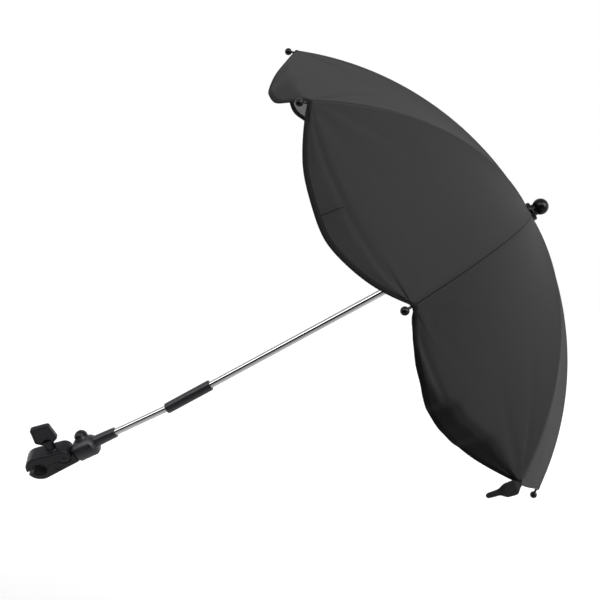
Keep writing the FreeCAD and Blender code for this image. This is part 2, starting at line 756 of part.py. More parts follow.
def make_ball():
    middle = V(0, 0, apex_reach + ball_rise)
    hole_length = ferrule_neck_sink + seat_gap + overrun
    hole = rod(ferrule_neck_radius + seat_gap, middle - UP * (ball_radius + overrun), UP, hole_length)
    return Part.makeSphere(ball_radius, middle).cut(hole)


os.makedirs("parts", exist_ok=True)

for name, shape in (
    ("lower_jaw", make_lower_jaw()),
    ("upper_jaw", make_upper_jaw()),
    ("lower_jaw_pad", make_pad(False)),
    ("upper_jaw_pad", make_pad(True)),
    ("jaw_hinge_pin", cross_rod(hinge_pin_radius, hinge_x, hinge_z, jaw_width - 2 * pad_edge)),
    ("barrel_nut", make_nut()),
    ("thrust_washer", leaned(make_washer())),
    ("wing_knob", leaned(make_knob())),
    ("clamp_screw", leaned(make_screw())),
    ("friction_washer", make_friction_washer()),
):
    keep(name, shape, clamp_place)

for name, shape in (
    ("swivel_head", make_swivel_head()),
    ("lock_button", make_lock_button()),
    ("button_spring", make_button_spring()),
    ("lower_pole", make_lower_pole()),
    ("knee_tongue", make_knee_tongue()),
):
    keep(name, shape, arm_place)

for name, shape in (
    ("knee_fork", make_knee_fork()),
    ("knee_pin", cross_rod(knee_pin_radius, 0, 0, knee_pin_length)),
    ("knee_sleeve", make_sleeve()),
    ("upper_pole", make_upper_pole()),
    ("top_notch", make_notch()),
    ("notch_pins", Part.makeCompound(crown_pins(notch_pin.z, 0))),
    ("runner", make_runner()),
    ("runner_pins", Part.makeCompound(crown_pins(runner_pin.z, 0))),
    ("top_ferrule", make_ferrule()),
    ("finial_ball", make_ball()),
):
    keep(name, shape, pole_place)

rib = make_rib()
rib_tip = make_rib_tip()
stretcher = make_stretcher()
for index in range(rib_count):
    number = str(index + 1)
    keep("rib_" + number, rib, rib_place(index))
    keep("rib_tip_" + number, rib_tip, rib_place(index))
    keep("stretcher_" + number, stretcher, rib_place(index))
    keep("gore_" + number, make_gore(index), rib_place(index))
keep("tie_strap", make_tie_strap(), rib_place(1))
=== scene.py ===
# %% [markdown]
# A pram parasol: a clamp for the pram's tube, a swivel head, a two-part pole with a knee under a sliding
# sleeve, and a small eight-rib umbrella in charcoal cloth. The hard pieces come from the CAD frame, which
# also knows how every piece moves. Blender adds the cloth, the smooth mouldings and the finishes.

# %% Load the frame
import bmesh
import bpy
import json
import math
from collections import namedtuple
from mathutils import Matrix, Vector

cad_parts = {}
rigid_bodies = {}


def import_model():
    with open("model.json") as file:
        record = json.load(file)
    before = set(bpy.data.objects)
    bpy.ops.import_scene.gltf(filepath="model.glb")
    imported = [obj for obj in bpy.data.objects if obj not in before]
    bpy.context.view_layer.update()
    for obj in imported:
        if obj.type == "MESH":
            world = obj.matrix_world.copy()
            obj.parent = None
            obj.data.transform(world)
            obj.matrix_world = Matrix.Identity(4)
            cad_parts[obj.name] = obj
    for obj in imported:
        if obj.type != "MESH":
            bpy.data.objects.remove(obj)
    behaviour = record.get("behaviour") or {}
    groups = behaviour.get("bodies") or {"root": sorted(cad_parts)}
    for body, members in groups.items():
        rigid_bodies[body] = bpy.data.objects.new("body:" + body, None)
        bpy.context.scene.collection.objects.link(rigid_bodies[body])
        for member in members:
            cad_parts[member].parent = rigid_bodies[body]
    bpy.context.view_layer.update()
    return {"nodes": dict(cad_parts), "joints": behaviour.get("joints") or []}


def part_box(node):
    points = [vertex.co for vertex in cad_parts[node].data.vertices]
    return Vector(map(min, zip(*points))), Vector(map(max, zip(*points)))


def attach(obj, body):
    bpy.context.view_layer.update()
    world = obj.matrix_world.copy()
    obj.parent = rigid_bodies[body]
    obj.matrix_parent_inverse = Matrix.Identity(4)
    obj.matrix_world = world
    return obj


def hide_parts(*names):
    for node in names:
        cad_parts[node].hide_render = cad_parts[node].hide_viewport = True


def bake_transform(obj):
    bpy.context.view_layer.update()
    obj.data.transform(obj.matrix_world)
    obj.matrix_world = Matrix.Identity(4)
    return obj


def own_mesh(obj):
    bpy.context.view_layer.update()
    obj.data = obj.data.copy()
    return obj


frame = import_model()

scene = bpy.context.scene
scene.view_settings.view_transform = "Standard"
joints = {joint["name"]: joint for joint in frame["joints"]}

# %% [markdown]
# The umbrella is tilted, so it is easiest to think along its own pole. The knee's pivot and the sleeve's
# sliding direction are joints of the frame, and together they give the pole's line. Each rib's hinge
# axis, turned against that line, gives the direction in which the rib leaves the pole.

# %% The pole's line and the ribs' directions
RIBS = 8
knee = Vector(joints["knee_bend"]["pos_m"])
pole_up = Vector(joints["sleeve_slide"]["axis"]).normalized()
rib_out = []
for number in range(1, RIBS + 1):
    axis = Vector(joints["rib_fold_%d" % number]["axis"]).normalized()
    rib_out.append(axis.cross(pole_up).normalized())
print("knee", [round(x, 4) for x in knee], "pole", [round(x, 3) for x in pole_up])

# %% [markdown]
# The photograph was taken from the side with a long lens held level, so that the pole crosses the picture
# and the canopy shows its outside. The camera is placed from the knee, so it follows the parasol if the
# clamp changes.

# %% Camera
LENS_MM = 55.0
SENSOR_MM = 36.0
CAMERA_FROM_KNEE = Vector((0.4657, -1.2688, 0.1549))
CAMERA_LOOKS = Vector((-0.2108, 0.9775, 0.0))


def facing(way):
    """The turn that points a camera or a lamp along a direction."""
    return Vector(way).to_track_quat("-Z", "Y").to_euler()


camera_data = bpy.data.cameras.new("camera")
camera_data.lens = LENS_MM
camera_data.sensor_width = SENSOR_MM
camera = bpy.data.objects.new("camera", camera_data)
scene.collection.objects.link(camera)
camera.location = knee + CAMERA_FROM_KNEE
camera.rotation_euler = facing(CAMERA_LOOKS)
scene.camera = camera
print("camera", [round(x, 3) for x in camera.location])

# %% [markdown]
# Every material here starts from one Principled shader, and what is the same all over is set on the shader
# itself. Where a value changes from place to place, small nodes work it out. One helper adds a step of
# arithmetic, one stretches a range of values to another, and one mixes two tones.

# %% Helpers for materials
MIX_DARK, MIX_LIGHT, MIX_RESULT = 6, 7, 2    # the colour sockets of a Mix node


def new_finish(name, colour, roughness, metallic=0.0, specular=0.5):
    """A material, with its nodes, its links and its Principled shader."""
    finish = bpy.data.materials.new(name)
    finish.use_nodes = True
    shader = finish.node_tree.nodes["Principled BSDF"]
    shader.inputs["Base Color"].default_value = (*colour, 1.0)
    shader.inputs["Roughness"].default_value = roughness
    shader.inputs["Metallic"].default_value = metallic
    shader.inputs["Specular IOR Level"].default_value = specular
    finish.diffuse_color = (*colour, 1.0)
    return finish, finish.node_tree.nodes, finish.node_tree.links, shader


def calc(nodes, links, kind, *values):
    """One step of arithmetic on numbers or on other nodes' outputs."""
    node = nodes.new("ShaderNodeMath")
    node.operation = kind
    for place, value in enumerate(values):
        if isinstance(value, (int, float)):
            node.inputs[place].default_value = value
        else:
            links.new(value, node.inputs[place])
    return node.outputs[0]


def spread(nodes, links, value, low, high, out_low, out_high):
    """A value between low and high, stretched to lie between two others."""
    fit = nodes.new("ShaderNodeMapRange")
    fit.inputs["From Min"].default_value = low
    fit.inputs["From Max"].default_value = high
    fit.inputs["To Min"].default_value = out_low
    fit.inputs["To Max"].default_value = out_high
    links.new(value, fit.inputs["Value"])
    return fit.outputs["Result"]


def two_tones(nodes, links, share, dark, light):
    """A mix of two colours, each given as numbers or as another node's output."""
    mix = nodes.new("ShaderNodeMix")
    mix.data_type = "RGBA"
    for socket, colour in ((MIX_DARK, dark), (MIX_LIGHT, light)):
        if isinstance(colour, tuple):
            mix.inputs[socket].default_value = (*colour, 1.0)
        else:
            links.new(colour, mix.inputs[socket])
    links.new(share, mix.inputs[0])
    return mix.outputs[MIX_RESULT]


print("material helpers ready")

# %% [markdown]
# The background is white paper. A camera ray sees the floor and the world as white, while the light that
# reaches the parasol from below stays weak, as in a studio where the paper is lit on its own. The floor
# lies well under the parasol, which hangs on its clamp.

# %% Paper floor
FLOOR_Z = -0.42
FLOOR_WIDTH = 80.0
PAPER_TO_SOFT_LIGHT = 0.06
PAPER_TO_THE_EYE = 0.9
PAPER_GLOW = 0.3
WHITE = (1.0, 1.0, 1.0)


def grey(level):
    return (level, level, level)


def flat_board(name, width, height, tilt, place):
    """A flat board in the studio, tilted back from level. It isn't part of the parasol."""
    bm = bmesh.new()
    bmesh.ops.create_grid(bm, x_segments=1, y_segments=1, size=0.5)
    bmesh.ops.scale(bm, verts=bm.verts, vec=(width, height, 1.0))
    bmesh.ops.rotate(bm, verts=bm.verts, matrix=Matrix.Rotation(math.radians(tilt), 3, "X"))
    bmesh.ops.translate(bm, verts=bm.verts, vec=place)
    board_mesh = bpy.data.meshes.new(name)
    bm.to_mesh(board_mesh)
    bm.free()
    board = bpy.data.objects.new(name, board_mesh)
    scene.collection.objects.link(board)
    return board


def seen_directly(nodes, links):
    """1 for a ray from the camera, a mirror or a glass, 0 for soft light."""
    path = nodes.new("ShaderNodeLightPath")
    direct = calc(nodes, links, "MAXIMUM", path.outputs["Is Camera Ray"], path.outputs["Is Glossy Ray"])
    return calc(nodes, links, "MAXIMUM", direct, path.outputs["Is Transmission Ray"])


paper, nodes, links, shader = new_finish("white_paper", WHITE, roughness=1.0, specular=0.0)
seen = seen_directly(nodes, links)
tone = two_tones(nodes, links, seen, grey(PAPER_TO_SOFT_LIGHT), grey(PAPER_TO_THE_EYE))
links.new(tone, shader.inputs["Base Color"])
shader.inputs["Emission Color"].default_value = (*WHITE, 1.0)
links.new(calc(nodes, links, "MULTIPLY", seen, PAPER_GLOW), shader.inputs["Emission Strength"])
floor = flat_board("floor", FLOOR_WIDTH, FLOOR_WIDTH, 0.0, (0.0, 0.0, FLOOR_Z))
floor.data.materials.append(paper)
print("floor at", FLOOR_Z)

# %% [markdown]
# Chrome shows only what stands around it. A photographer sets up white, grey and black cards, which draw
# the bright line, the black line and the greys along a tube. These cards are seen in reflections alone,
# so they neither light the cloth nor cast a shadow.

# %% Cards for the chrome
CARD_WIDTH = 9.0
CARD_X = 0.3
CARD_ON_FLOOR = FLOOR_Z + 0.01
# name, place in depth, place in height, height of the card, its tilt in degrees, its glow
cards = (
    ("front_softbox", -2.5, 2.0, 0.6, 54.0, 4.0),
    ("front_grey", -3.2, 1.55, 0.5, 90.0, 0.30),
    ("front_black", -3.2, 0.44, 1.72, 90.0, 0.0),
    ("floor_black", -2.35, CARD_ON_FLOOR, 1.7, 0.0, 0.0),
    ("floor_grey", -0.9, CARD_ON_FLOOR, 1.2, 0.0, 0.34),
    ("floor_pale", 0.5, CARD_ON_FLOOR, 1.6, 0.0, 0.60),
    ("roof_grey", -0.3, 2.7, 1.8, 0.0, 0.32),
    ("roof_pale", 1.8, 2.7, 2.4, 0.0, 0.55),
)
for name, depth, rise, height, tilt, brightness in cards:
    card = flat_board(name, CARD_WIDTH, height, tilt, (CARD_X, depth, rise))
    card_paper, nodes, links, shader = new_finish(name, grey(0.0), roughness=0.5, specular=0.0)
    shader.inputs["Emission Color"].default_value = (*WHITE, 1.0)
    shader.inputs["Emission Strength"].default_value = brightness
    card.data.materials.append(card_paper)
    card.visible_camera = False
    card.visible_diffuse = False
    card.visible_shadow = False
print("cards", len(cards))

# %% [markdown]
# The world is a white room that gives only a little soft light. A wide lamp overhead and a stronger one
# at the right model the canopy, as two softboxes would, and a weak reflector low at the right lifts the
# panel near the strap.

# %% World and lamps
ROOM_SOFT_LIGHT = 0.22
ROOM_SEEN = 1.0
LOW_WATTS = 14.0
LOW_SIZE = 1.0
LOW_PLACE = Vector((1.55, 0.75, -0.35))
LOW_AIM = Vector((0.68, 0.0, 0.33))

world = bpy.data.worlds.new("studio")
scene.world = world
world.use_nodes = True
nodes, links = world.node_tree.nodes, world.node_tree.links
sky = nodes["Background"]
sky.inputs["Color"].default_value = (*WHITE, 1.0)
room = spread(nodes, links, seen_directly(nodes, links), 0.0, 1.0, ROOM_SOFT_LIGHT, ROOM_SEEN)
links.new(room, sky.inputs["Strength"])

# name, direction of the light, strength, softness in degrees
suns = (
    ("overhead_softbox", (0.0, 0.0, -1.0), 1.25, 60.0),
    ("right_softbox", (-0.8, 0.45, -0.4), 2.1, 40.0),
)
for name, way, strength, softness in suns:
    lamp = bpy.data.lights.new(name, "SUN")
    lamp.energy = strength
    lamp.angle = math.radians(softness)
    holder = bpy.data.objects.new(name, lamp)
    scene.collection.objects.link(holder)
    holder.rotation_euler = facing(way)

low_lamp = bpy.data.lights.new("low_reflector", "AREA")
low_lamp.energy = LOW_WATTS
low_lamp.size = LOW_SIZE
low_reflector = bpy.data.objects.new("low_reflector", low_lamp)
scene.collection.objects.link(low_reflector)
low_reflector.location = LOW_PLACE
low_reflector.rotation_euler = facing(LOW_AIM - LOW_PLACE)
low_reflector.visible_camera = False
low_reflector.visible_glossy = False
print("world and", len(suns) + 1, "lamps")

# %% [markdown]
# No real surface is quite even. A noise in the object's own space breaks up a finish's tone and gloss, and
# a bump gives it a fine relief that catches the light without any more faces in the mesh.

# %% Noise and relief
def object_place(nodes):
    return nodes.new("ShaderNodeTexCoord").outputs["Object"]


def noise(nodes, links, place, scale, detail):
    cloud = nodes.new("ShaderNodeTexNoise")
    cloud.inputs["Scale"].default_value = scale
    cloud.inputs["Detail"].default_value = detail
    links.new(place, cloud.inputs["Vector"])
    return cloud.outputs["Fac"]


def relief(nodes, links, shader, height, depth, strength):
    bump = nodes.new("ShaderNodeBump")
    bump.inputs["Strength"].default_value = strength
    bump.inputs["Distance"].default_value = depth
    links.new(height, bump.inputs["Height"])
    links.new(bump.outputs["Normal"], shader.inputs["Normal"])


NOISE_LOW, NOISE_HIGH = 0.3, 0.7    # where most of a noise's values lie
print("noise lies between", NOISE_LOW, "and", NOISE_HIGH)

# %% [markdown]
# Woven cloth needs three more helpers. Two bands of waves crossed over each other make the threads, read
# from the cloth's own map, so the weave follows the panel. The distances from a seam and from the crown
# are stored in the mesh as attributes, and from these two a row of stitches can be drawn anywhere.

# %% Helpers for woven cloth
WAVES_IN_A_UNIT = 20.0
THREAD_WANDER = 0.6
THREAD_WANDER_SCALE = 0.2
STITCH_SHARE = 0.7    # share of a stitch's step that is thread


def weave(nodes, links, pitch):
    """Height of a plain weave on the cloth's map, whose units are metres."""
    place = nodes.new("ShaderNodeUVMap")
    place.uv_map = "cloth"
    threads = []
    for direction in ("X", "Y"):
        wave = nodes.new("ShaderNodeTexWave")
        wave.bands_direction = direction
        wave.inputs["Scale"].default_value = math.tau / (WAVES_IN_A_UNIT * pitch)
        wave.inputs["Distortion"].default_value = THREAD_WANDER
        wave.inputs["Detail Scale"].default_value = THREAD_WANDER_SCALE
        links.new(place.outputs["UV"], wave.inputs["Vector"])
        threads.append(wave.outputs["Fac"])
    return calc(nodes, links, "MULTIPLY", threads[0], threads[1])


def attribute(nodes, name):
    node = nodes.new("ShaderNodeAttribute")
    node.attribute_name = name
    return node.outputs["Fac"]


def stitches(nodes, links, across, along, row_at, half_width, step_mm):
    """1 on the thread of a row of stitches, 0 beside it. All in millimetres."""
    off_row = calc(nodes, links, "ABSOLUTE", calc(nodes, links, "SUBTRACT", across, row_at))
    on_row = calc(nodes, links, "LESS_THAN", off_row, half_width)
    step = calc(nodes, links, "FRACT", calc(nodes, links, "DIVIDE", along, step_mm))
    return calc(nodes, links, "MULTIPLY", on_row, calc(nodes, links, "LESS_THAN", step, STITCH_SHARE))


print("cloth helpers ready")

# %% [markdown]
# The canopy is a plain-woven polyester in charcoal with a faint sheen. Where two panels meet on a rib, a
# dark seam line runs from the crown to the tip, with a row of stitches on each side of it. The cloth lies
# double there, so it stands a little higher.

# %% Canopy cloth
CLOTH_THREAD = 0.0006
WEAVE_HEIGHT = 0.25
SEAM_DARK_MM, SEAM_CLEAR_MM = 0.3, 1.3
LAP_MM = 5.5
canopy_cloth, nodes, links, shader = new_finish("charcoal_cloth", (0.036, 0.036, 0.037), 0.8, specular=0.1)
shader.inputs["Sheen Weight"].default_value = 0.06
shader.inputs["Sheen Roughness"].default_value = 0.45
fade = noise(nodes, links, object_place(nodes), scale=9.0, detail=4.0)
plain = two_tones(nodes, links, spread(nodes, links, fade, NOISE_LOW, NOISE_HIGH, 0.0, 1.0),
                  (0.033, 0.033, 0.034), (0.039, 0.039, 0.040))
from_seam = attribute(nodes, "seam_mm")
seam_line = spread(nodes, links, from_seam, SEAM_DARK_MM, SEAM_CLEAR_MM, 0.0, 1.0)
seamed = two_tones(nodes, links, seam_line, (0.012, 0.012, 0.013), plain)
from_crown = attribute(nodes, "down_mm")
thread = stitches(nodes, links, from_seam, from_crown, row_at=4.0, half_width=0.35, step_mm=3.2)
links.new(two_tones(nodes, links, thread, seamed, (0.028, 0.028, 0.030)), shader.inputs["Base Color"])
links.new(spread(nodes, links, fade, NOISE_LOW, NOISE_HIGH, 0.74, 0.88), shader.inputs["Roughness"])
woven = calc(nodes, links, "MULTIPLY", weave(nodes, links, CLOTH_THREAD), WEAVE_HEIGHT)
lap = spread(nodes, links, from_seam, 0.0, LAP_MM, 1.0, 0.0)
sewn = calc(nodes, links, "ADD", calc(nodes, links, "ADD", woven, thread), lap)
relief(nodes, links, shader, sewn, depth=0.0003, strength=0.5)
print("cloth", canopy_cloth.name)

# %% [markdown]
# The back of the cloth has a silvery coating against the sun. It is thin and lets the weave show, so it
# is half a metal and half a paint. The rim is bound with a nearly black tape, ribbed across and sewn
# along its upper edge.

# %% Lining and binding tape
TAPE_RIDGES = 6.0       # the tape's cross ribs, in radians for each millimetre
RIDGE_HEIGHT = 0.3
silver_lining, nodes, links, shader = new_finish("silver_lining", (0.55, 0.55, 0.56), 0.5,
                                                 metallic=0.6, specular=0.4)
fade = noise(nodes, links, object_place(nodes), scale=14.0, detail=5.0)
plain = two_tones(nodes, links, fade, (0.50, 0.50, 0.51), (0.60, 0.60, 0.61))
links.new(plain, shader.inputs["Base Color"])
links.new(spread(nodes, links, fade, NOISE_LOW, NOISE_HIGH, 0.48, 0.62), shader.inputs["Roughness"])
relief(nodes, links, shader, weave(nodes, links, CLOTH_THREAD), depth=0.0002, strength=0.3)

binding_tape, nodes, links, shader = new_finish("binding_tape", (0.005, 0.005, 0.0055), 0.75, specular=0.15)
fade = noise(nodes, links, object_place(nodes), scale=40.0, detail=3.0)
along = attribute(nodes, "down_mm")
thread = stitches(nodes, links, attribute(nodes, "seam_mm"), along, row_at=4.2, half_width=0.4, step_mm=3.0)
plain = two_tones(nodes, links, fade, (0.004, 0.004, 0.0045), (0.007, 0.007, 0.0075))
links.new(two_tones(nodes, links, thread, plain, (0.020, 0.020, 0.021)), shader.inputs["Base Color"])
ridges = calc(nodes, links, "SINE", calc(nodes, links, "MULTIPLY", along, TAPE_RIDGES))
sewn = calc(nodes, links, "ADD", calc(nodes, links, "MULTIPLY", ridges, RIDGE_HEIGHT), thread)
relief(nodes, links, shader, sewn, depth=0.0002, strength=0.5)
print("lining and tape", silver_lining.name, binding_tape.name)

# %% [markdown]
# The clamp, head and sleeve are moulded in black nylon. Such a moulding has a fine spark-eroded grain, a
# slightly uneven gloss, and pale rub marks where it is handled. A fine noise gives the grain, a larger
# one moves the roughness, and a third one places the rub marks. The head and the sleeve have a more satin
# skin than the clamp. The clamp's copy of the nylon is painted darker, as painted shade, and the head's and
# sleeve's copy is painted lighter, as painted light. One function makes both finishes.

# %% Black mouldings
RUBBED = (0.022, 0.0214, 0.029)
RUB_STARTS, RUB_FULL = 0.60, 0.72    # only the peaks of the noise are rubbed
RUB_SHARE = 0.35


def moulding_finish(name, dark, pale, smooth, rough, specular):
    """Black nylon whose tone wanders from dark to pale, and its roughness from smooth to rough."""
    moulding, nodes, links, shader = new_finish(name, dark, smooth, specular=specular)
    place = object_place(nodes)
    grain = noise(nodes, links, place, scale=2600.0, detail=2.0)
    patch = noise(nodes, links, place, scale=90.0, detail=4.0)
    marks = noise(nodes, links, place, scale=260.0, detail=6.0)
    rub = spread(nodes, links, marks, RUB_STARTS, RUB_FULL, 0.0, RUB_SHARE)
    plain = two_tones(nodes, links, patch, dark, pale)
    links.new(two_tones(nodes, links, rub, plain, RUBBED), shader.inputs["Base Color"])
    links.new(spread(nodes, links, patch, NOISE_LOW, NOISE_HIGH, smooth, rough), shader.inputs["Roughness"])
    relief(nodes, links, shader, grain, depth=0.00012, strength=0.35)
    return moulding


# Painted shade: the clamp's copy is darker than the nylon. Painted light: the head's and sleeve's copy is
# lighter, and glossier too.
black_moulding = moulding_finish("black_moulding", (0.0058, 0.0055, 0.0085), (0.0088, 0.0084, 0.0130),
                                 smooth=0.28, rough=0.40, specular=0.34)
satin_moulding = moulding_finish("satin_moulding", (0.0095, 0.0090, 0.0140), (0.0140, 0.0133, 0.0205),
                                 smooth=0.32, rough=0.44, specular=0.76)
print("mouldings", black_moulding.name, satin_moulding.name)

# %% [markdown]
# Four more finishes differ only in their numbers: the glossy nylon of the balls, the rubber of the jaw
# pads, zinc plate on the small steel parts, and the blackened nut and hinge pin that show in the clamp.
# Each has a tone that drifts in soft clouds, a roughness that drifts with it, and a fine grain.

# %% Clouded finishes
CLOUD_DETAIL = 5.0


def clouded_finish(name, colour, roughness, tones, roughs, clouds, grain, bump,
                   metallic=0.0, specular=0.5, cloud_low=NOISE_LOW):
    """Tones and roughs drift from the first to the second with the clouds. Grain and bump are pairs of
    numbers: the grain's scale and detail, and the bump's depth and strength."""
    finish, nodes, links, shader = new_finish(name, colour, roughness, metallic, specular)
    place = object_place(nodes)
    cloud = noise(nodes, links, place, clouds, CLOUD_DETAIL)
    links.new(two_tones(nodes, links, cloud, *tones), shader.inputs["Base Color"])
    links.new(spread(nodes, links, cloud, cloud_low, NOISE_HIGH, *roughs), shader.inputs["Roughness"])
    relief(nodes, links, shader, noise(nodes, links, place, *grain), *bump)
    return finish


gloss_black = clouded_finish(
    "gloss_black_nylon", (0.006, 0.006, 0.0065), 0.16, specular=0.25, cloud_low=0.35, clouds=120.0,
    tones=((0.005, 0.005, 0.0055), (0.009, 0.009, 0.0095)), roughs=(0.12, 0.24),
    grain=(500.0, 2.0), bump=(0.00006, 0.2))
jaw_rubber = clouded_finish(
    "jaw_rubber", (0.016, 0.016, 0.016), 0.85, specular=0.2, clouds=300.0,
    tones=((0.012, 0.012, 0.012), (0.024, 0.024, 0.023)), roughs=(0.75, 0.92),
    grain=(1500.0, 3.0), bump=(0.0002, 0.4))
zinc_plate = clouded_finish(
    "zinc_plate", (0.55, 0.55, 0.54), 0.32, metallic=1.0, clouds=350.0,
    tones=((0.46, 0.46, 0.45), (0.62, 0.62, 0.61)), roughs=(0.24, 0.42),
    grain=(1800.0, 3.0), bump=(0.00006, 0.25))
blackened_steel = clouded_finish(
    "blackened_steel", (0.03, 0.03, 0.032), 0.4, metallic=1.0, clouds=300.0,
    tones=((0.02, 0.02, 0.022), (0.05, 0.05, 0.052)), roughs=(0.34, 0.5),
    grain=(1600.0, 3.0), bump=(0.00006, 0.25))
print("clouded", gloss_black.name, jaw_rubber.name, zinc_plate.name, blackened_steel.name)

# %% [markdown]
# The poles are drawn steel tube with bright chrome. Drawing leaves faint lines along the tube, so the
# noise is stretched along the pole with a Mapping node. The ribs are steel wire with black paint, chipped
# here and there.

# %% Chrome and painted wire
DRAWN_STRETCH = 60.0
PAINT = (0.014, 0.014, 0.015)
BARE_STEEL = (0.09, 0.09, 0.092)
CHIP_STARTS, CHIP_FULL = 0.68, 0.74
CHIP_SHARE = 0.6


def along_pole(nodes, links, slow):
    """Object place turned so that its last axis runs along the pole, and squeezed along it."""
    turn = nodes.new("ShaderNodeMapping")
    turn.vector_type = "TEXTURE"
    turn.inputs["Rotation"].default_value = pole_up.to_track_quat("Z", "Y").to_euler()
    turn.inputs["Scale"].default_value = (1.0, 1.0, slow)
    links.new(object_place(nodes), turn.inputs["Vector"])
    return turn.outputs["Vector"]


bright_chrome, nodes, links, shader = new_finish("bright_chrome", (0.72, 0.72, 0.73), 0.12, metallic=1.0)
lines = noise(nodes, links, along_pole(nodes, links, DRAWN_STRETCH), scale=900.0, detail=3.0)
smears = noise(nodes, links, object_place(nodes), scale=45.0, detail=5.0)
bright = two_tones(nodes, links, smears, (0.66, 0.66, 0.67), (0.78, 0.78, 0.79))
links.new(bright, shader.inputs["Base Color"])
links.new(spread(nodes, links, smears, NOISE_LOW, NOISE_HIGH, 0.03, 0.07), shader.inputs["Roughness"])
relief(nodes, links, shader, lines, depth=0.00005, strength=0.12)

painted_wire, nodes, links, shader = new_finish("painted_wire", PAINT, 0.3, specular=0.4)
place = object_place(nodes)
peel = noise(nodes, links, place, scale=700.0, detail=3.0)
spots = noise(nodes, links, place, scale=420.0, detail=5.0)
chips = spread(nodes, links, spots, CHIP_STARTS, CHIP_FULL, 0.0, CHIP_SHARE)
links.new(two_tones(nodes, links, chips, PAINT, BARE_STEEL), shader.inputs["Base Color"])
links.new(spread(nodes, links, peel, NOISE_LOW, NOISE_HIGH, 0.24, 0.4), shader.inputs["Roughness"])
relief(nodes, links, shader, peel, depth=0.0001, strength=0.3)
print("pole and ribs", bright_chrome.name, painted_wire.name)

# %% [markdown]
# A CAD piece arrives as loose flat triangles. A copy of it with its doubles merged can be shaded smooth,
# with a sharp edge only where two faces really meet at an angle. The copy rides on the same body and
# stands for the CAD piece, which stays behind it for the physics.

# %% Smooth copies of the hard pieces
SAME_POINT = 0.000003
SHARP_EDGE = math.radians(32.0)


def put(name, mesh_data, body, finishes, stands_for=()):
    """A new piece with its finishes, tied to its body and to the CAD nodes that it stands for."""
    piece = bpy.data.objects.new(name, mesh_data)
    scene.collection.objects.link(piece)
    for finish in finishes:
        mesh_data.materials.append(finish)
    if body:
        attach(piece, body)
    if stands_for:
        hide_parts(*stands_for)
    return piece


def smooth_copy(node, name, finish):
    bm = bmesh.new()
    bm.from_mesh(frame["nodes"][node].data)
    bmesh.ops.remove_doubles(bm, verts=bm.verts, dist=SAME_POINT)
    for edge in bm.edges:
        edge.smooth = edge.calc_face_angle(0.0) < SHARP_EDGE
    for face in bm.faces:
        face.smooth = True
        face.material_index = 0
    copy = bpy.data.meshes.new(name)
    bm.to_mesh(copy)
    bm.free()
    body = frame["nodes"][node].parent.name.split(":")[-1]
    return put(name, copy, body, [finish], [node])


hard_pieces = [
    ("black_plastic", black_moulding,
     (("lower_jaw", "clamp_arm"), ("upper_jaw", "clamp_hook"), ("wing_knob", "winged_knob"),
      ("lock_button", "press_button"), ("runner", "runner_moulding"), ("top_notch", "crown_moulding"))),
    ("black_plastic", satin_moulding,
     (("swivel_head", "swivel_moulding"), ("knee_sleeve", "sliding_sleeve"))),
    ("rubber_pads", jaw_rubber,
     (("upper_jaw_pad", "upper_grip"), ("lower_jaw_pad", "lower_grip"),
      ("friction_washer", "swivel_liner"))),
    ("chrome_tube", bright_chrome, (("lower_pole", "lower_tube"), ("upper_pole", "upper_tube"))),
    ("plated_steel", blackened_steel,
     [(node, node + "_steel") for node in ("barrel_nut", "jaw_hinge_pin")]),
    ("plated_steel", zinc_plate,
     [(node, node + "_steel") for node in ("clamp_screw", "thrust_washer", "knee_fork", "knee_tongue",
                                           "knee_pin", "notch_pins", "runner_pins")]),
    ("gloss_black", gloss_black, (("top_ferrule", "crown_cap"), ("finial_ball", "top_ball"))),
]
for number in range(1, RIBS + 1):
    wires = (("rib_%d" % number, "rib_wire_%d" % number),
             ("stretcher_%d" % number, "stretcher_wire_%d" % number))
    balls = (("rib_tip_%d" % number, "tip_ball_%d" % number),)
    hard_pieces.append(("rib_steel", painted_wire, wires))
    hard_pieces.append(("gloss_black", gloss_black, balls))
copies = 0
for slot, finish, pairs in hard_pieces:
    for node, name in pairs:
        smooth_copy(node, name, finish)
        copies += 1
print("smooth copies", copies)

# %% [markdown]
# A coil spring under the lock button pushes it up again. It is too small to bend turn by turn, and here it
# is a smooth copy with a mesh of its own.

# %% Button spring
spring = smooth_copy("button_spring", "coil_spring", zinc_plate)
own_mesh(spring)

# %% [markdown]
# The cloth is cut as eight gores sewn into one sheet. Along the ribs it follows their curve, which is an
# arc on one sphere. Past the tips the cloth turns and hangs as a valance, deepest near the middle of the
# panel. In the photograph the valances differ: most hang, one stands out a little, one is tucked under,
# and one is turned under on a slant.

# %% Ribs' curve and valances
CLOTH_SPHERE = 0.4410
SPHERE_MIDDLE = 0.1350
CROWN_HOLE = 0.0075
CROWN_ANGLE = math.asin(CROWN_HOLE / CLOTH_SPHERE)
CORNER_ANGLE = math.radians(51.78)
TIP_VALANCE = 0.0015
EARLIEST_TURN = 0.02    # share of a valance's depth
middle = knee + pole_up * SPHERE_MIDDLE

# Depth, the share of the width where it is deepest, how far its own weight pulls it down, the angle in
# degrees that it turns to, and the share of its depth where it turns, at its first and its second rib
Valance = namedtuple("Valance", "depth peak weight turn first second")
valances = {
    1: Valance(0.0457, 0.55, 0.0, 110.0, 1.10, -0.30),
    2: Valance(0.046, 0.5, 0.0, 150.0, 0.06, 0.06),
    3: Valance(0.046, 0.5, 0.0, 92.0, 0.4, 0.4),
    4: Valance(0.046, 0.5, 0.0, 92.0, 0.4, 0.4),
    5: Valance(0.0506, 0.5, 0.15, 90.0, 0.4, 0.4),
    6: Valance(0.057, 0.43, 0.3, 90.0, 0.4, 0.4),
    7: Valance(0.0492, 0.5, 0.3, 90.0, 0.3, 0.3),
    8: Valance(0.048, 0.59, 0.0, 72.0, 0.36, 0.30),
}


def on_rib(rib, angle):
    return middle + (rib_out[rib] * math.sin(angle) + pole_up * math.cos(angle)) * CLOTH_SPHERE


